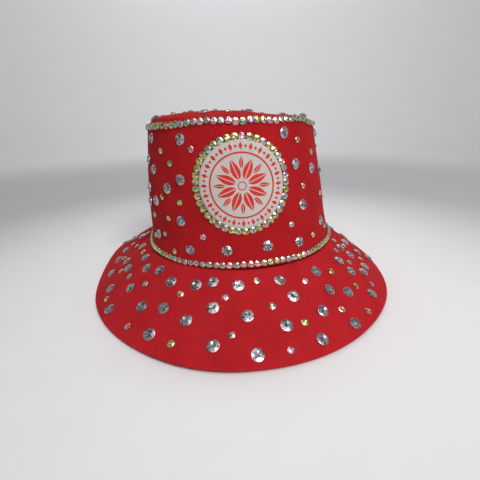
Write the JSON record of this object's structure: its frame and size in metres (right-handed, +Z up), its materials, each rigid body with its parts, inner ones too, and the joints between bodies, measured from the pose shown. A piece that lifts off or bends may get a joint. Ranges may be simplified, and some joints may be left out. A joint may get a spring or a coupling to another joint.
{
  "type": "bucket hat",
  "caption": "Red cloth bucket hat with an oval crown, a sloping brim, flat-back crystals, rhinestone trim and a round white patch at the front.",
  "frame": {"origin": "centre of the hat's outline on the floor, where the edge of the brim rests", "axes": "+Z up, -Y the front of the hat with the emblem, +X the wearer's left"},
  "size_m": [0.298, 0.32, 0.16],
  "materials": {
    "red_cloth": "matt cotton twill, bright red",
    "interlining": "white fusible interlining",
    "lining": "plain red lining cloth",
    "sweatband": "black herringbone tape",
    "label": "blank woven label",
    "emblem_cloth": "smooth white printed cloth",
    "rainbow_crystal": "foil-backed crystal with a rainbow coating, in silver cups",
    "clear_crystal": "clear foil-backed crystal"
  },
  "bodies": {
    "root": {"crown_tip": "red_cloth", "crown_side_front": "red_cloth", "crown_side_back": "red_cloth", "crown_tip_interlining": "interlining", "crown_side_interlining": "interlining", "crown_tip_lining": "lining", "crown_side_lining": "lining", "brim_top_front": "red_cloth", "brim_top_back": "red_cloth", "brim_interlining": "interlining", "brim_underside_front": "red_cloth", "brim_underside_back": "red_cloth", "sweatband": "sweatband", "size_label": "label", "emblem_disc": "emblem_cloth", "emblem_trim": "rainbow_crystal", "crown_top_trim": "rainbow_crystal", "crown_base_trim": "rainbow_crystal", "crown_crystal_01": "clear_crystal", "crown_crystal_02": "clear_crystal", "crown_crystal_03": "clear_crystal", "crown_crystal_04": "clear_crystal", "crown_crystal_05": "clear_crystal", "crown_crystal_06": "clear_crystal", "crown_crystal_07": "clear_crystal", "crown_crystal_08": "clear_crystal", "crown_crystal_09": "clear_crystal", "crown_crystal_10": "clear_crystal", "crown_crystal_11": "clear_crystal", "crown_crystal_12": "clear_crystal", "crown_crystal_13": "clear_crystal", "crown_crystal_14": "clear_crystal", "crown_crystal_15": "clear_crystal", "crown_crystal_16": "clear_crystal", "crown_crystal_17": "clear_crystal", "crown_crystal_18": "clear_crystal", "crown_crystal_19": "clear_crystal", "crown_crystal_20": "clear_crystal", "crown_crystal_21": "clear_crystal", "crown_crystal_22": "clear_crystal", "crown_crystal_23": "clear_crystal", "crown_crystal_24": "clear_crystal", "crown_crystal_25": "clear_crystal", "crown_crystal_26": "clear_crystal", "crown_crystal_27": "clear_crystal", "crown_crystal_28": "clear_crystal", "crown_crystal_29": "clear_crystal", "crown_crystal_30": "clear_crystal", "crown_crystal_31": "clear_crystal", "crown_crystal_32": "clear_crystal", "crown_crystal_33": "clear_crystal", "crown_crystal_34": "clear_crystal", "crown_crystal_35": "clear_crystal", "crown_crystal_36": "clear_crystal", "crown_crystal_37": "clear_crystal", "crown_crystal_38": "clear_crystal", "crown_crystal_39": "clear_crystal", "crown_crystal_40": "clear_crystal"}
  },
  "joints": []
}
